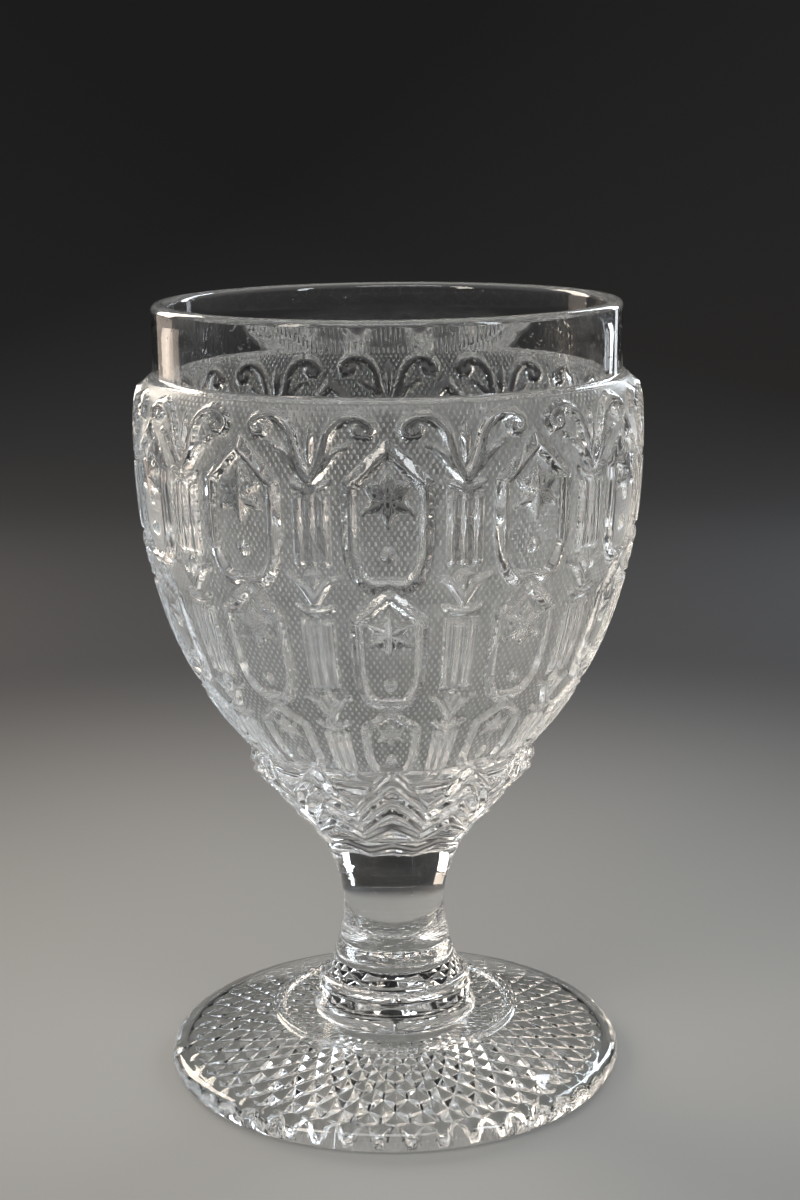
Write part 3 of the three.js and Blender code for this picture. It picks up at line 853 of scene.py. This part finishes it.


# Floor that bends up all round into a backdrop: a disc, a quarter circle and an upright, turned round the
# axis. Its colour is a painted pool of light: pale near the middle, it fades to dark with the distance.
def makeFloor():
    s = studio
    bend = arc(s["flat"], s["bend"] - s["under"], s["bend"], s["bend"], -90, 0, s["bendSteps"])
    stack = rings([*bend, (s["flat"] + s["bend"], s["high"])], turns(s["columns"]))
    points = np.concatenate(stack + [np.array([[0, 0, -s["under"] * mm]])])
    first = np.arange(s["columns"])
    faces = np.stack([np.full(s["columns"], len(points) - 1), first, np.roll(first, -1)], 1).tolist()
    for k in range(len(stack) - 1):
        start = k * s["columns"]
        faces += strip(start, s["columns"], start + s["columns"], s["columns"])[0][:, ::-1].tolist()
    mesh = bpy.data.meshes.new("floor")
    mesh.from_pydata(points, [], faces)
    mesh.polygons.foreach_set("use_smooth", np.ones(len(faces), bool))
    material = bpy.data.materials.new("paleFloorPaintedLightPool")
    material.use_nodes = True
    tree = material.node_tree
    shader = tree.nodes["Principled BSDF"]
    place = node(tree, "TexCoord").outputs["Object"]
    away = node(tree, "VectorMath", {0: place}, operation="LENGTH").outputs["Value"]
    # Painted pool of light: the colour goes from the pale near colour to the dark far colour with the
    # distance.
    share = node(tree, "MapRange", {
        "Value": away, "From Min": s["fade"][0], "From Max": s["fade"][1],
    }, interpolation_type="SMOOTHSTEP").outputs["Result"]
    colour = node(tree, "ValToRGB", {"Fac": share})
    colour.color_ramp.elements[0].color = s["nearPaintedLight"]
    colour.color_ramp.elements[1].color = s["farPaintedShade"]
    tree.links.new(colour.outputs["Color"], shader.inputs["Base Color"])
    shader.inputs["Roughness"].default_value = s["roughness"]
    shader.inputs["Specular IOR Level"].default_value = s["gloss"]
    mesh.materials.append(material)
    floor = bpy.data.objects.new("floor", mesh)
    bpy.context.scene.collection.objects.link(floor)


makeFloor()


# Puts a lamp or a camera into the scene: its right, up and back directions and its place are given
def stand(holder, right, up, back, place):
    turned = np.eye(4)
    turned[:3] = np.stack([right, up, back, place], 1)
    holder.matrix_world = Matrix(turned.tolist())
    bpy.context.scene.collection.objects.link(holder)


lampAim = np.array([0, 0, 90]) * mm
lamps = {
    "leftWindow": {"place": (-440, 400, 350), "size": (230, 420), "power": 3.0, "colour": (1, 0.9, 0.78)},
    "leftGlow": {"place": (-440, 400, 70), "size": (230, 110), "power": 0.08, "colour": (1, 0.84, 0.7)},
    "rightWindow": {"place": (367, 473, 350), "size": (100, 420), "power": 1.6, "colour": (0.86, 0.93, 1)},
    "rightGlow": {"place": (367, 473, 70), "size": (50, 110), "power": 0.05, "colour": (0.9, 0.95, 1)},
    "frontTop": {"place": (-60, -450, 680), "size": (520, 260), "power": 1.6, "colour": (1, 1, 1)},
    "frontLeft": {"place": (-340, -330, 340), "size": (90, 300), "power": 0.9, "colour": (1, 0.93, 0.84)},
    "frontRight": {"place": (350, -300, 330), "size": (60, 280), "power": 0.6, "colour": (0.9, 0.95, 1)},
}
for name, lamp in lamps.items():
    light = bpy.data.lights.new(name, "AREA")
    light.shape = "RECTANGLE"
    light.size, light.size_y = (side * mm for side in lamp["size"])
    light.energy = lamp["power"]
    light.color = lamp["colour"]
    place = np.array(lamp["place"]) * mm
    away = place - lampAim
    away = away / np.linalg.norm(away)
    right = np.cross([0, 0, 1], away)
    right = right / np.linalg.norm(right)
    stand(bpy.data.objects.new(name, light), right, np.cross(away, right), away, place)

world = bpy.data.worlds.new("studio")
bpy.context.scene.world = world
world.use_nodes = True
world.node_tree.nodes["Background"].inputs["Color"].default_value = studio["air"]
world.node_tree.nodes["Background"].inputs["Strength"].default_value = 1.0
print("floor and lamps placed")

view = {
    "lensPixels": 2100, "framePixels": 1200, "sensor": 36, "nearest": 10,
    "place": (1.83, -390.6, 182.1), "pitch": 12.86, "roll": -0.6,
}


# Camera at the photograph's angle: it looks along +Y, tipped down by the pitch and turned by a slight roll
def makeCamera():
    pitch, roll = np.radians([view["pitch"], view["roll"]])
    level, upright = np.array([1, 0, 0]), np.array([0, np.sin(pitch), np.cos(pitch)])
    right = np.cos(roll) * level + np.sin(roll) * upright
    up = np.cos(roll) * upright - np.sin(roll) * level
    back = np.array([0, -np.cos(pitch), np.sin(pitch)])
    lens = bpy.data.cameras.new("camera")
    lens.sensor_width = view["sensor"]
    lens.lens = view["lensPixels"] / view["framePixels"] * view["sensor"]
    lens.clip_start = view["nearest"] * mm
    camera = bpy.data.objects.new("camera", lens)
    stand(camera, right, up, back, np.array(view["place"]) * mm)
    bpy.context.scene.camera = camera


makeCamera()
scene = bpy.context.scene
scene.view_settings.view_transform = "Standard"
scene.cycles.max_bounces = 24
scene.cycles.transmission_bounces = 24
scene.cycles.glossy_bounces = 12
scene.cycles.transparent_max_bounces = 24
scene.cycles.caustics_reflective = False
scene.cycles.caustics_refractive = False
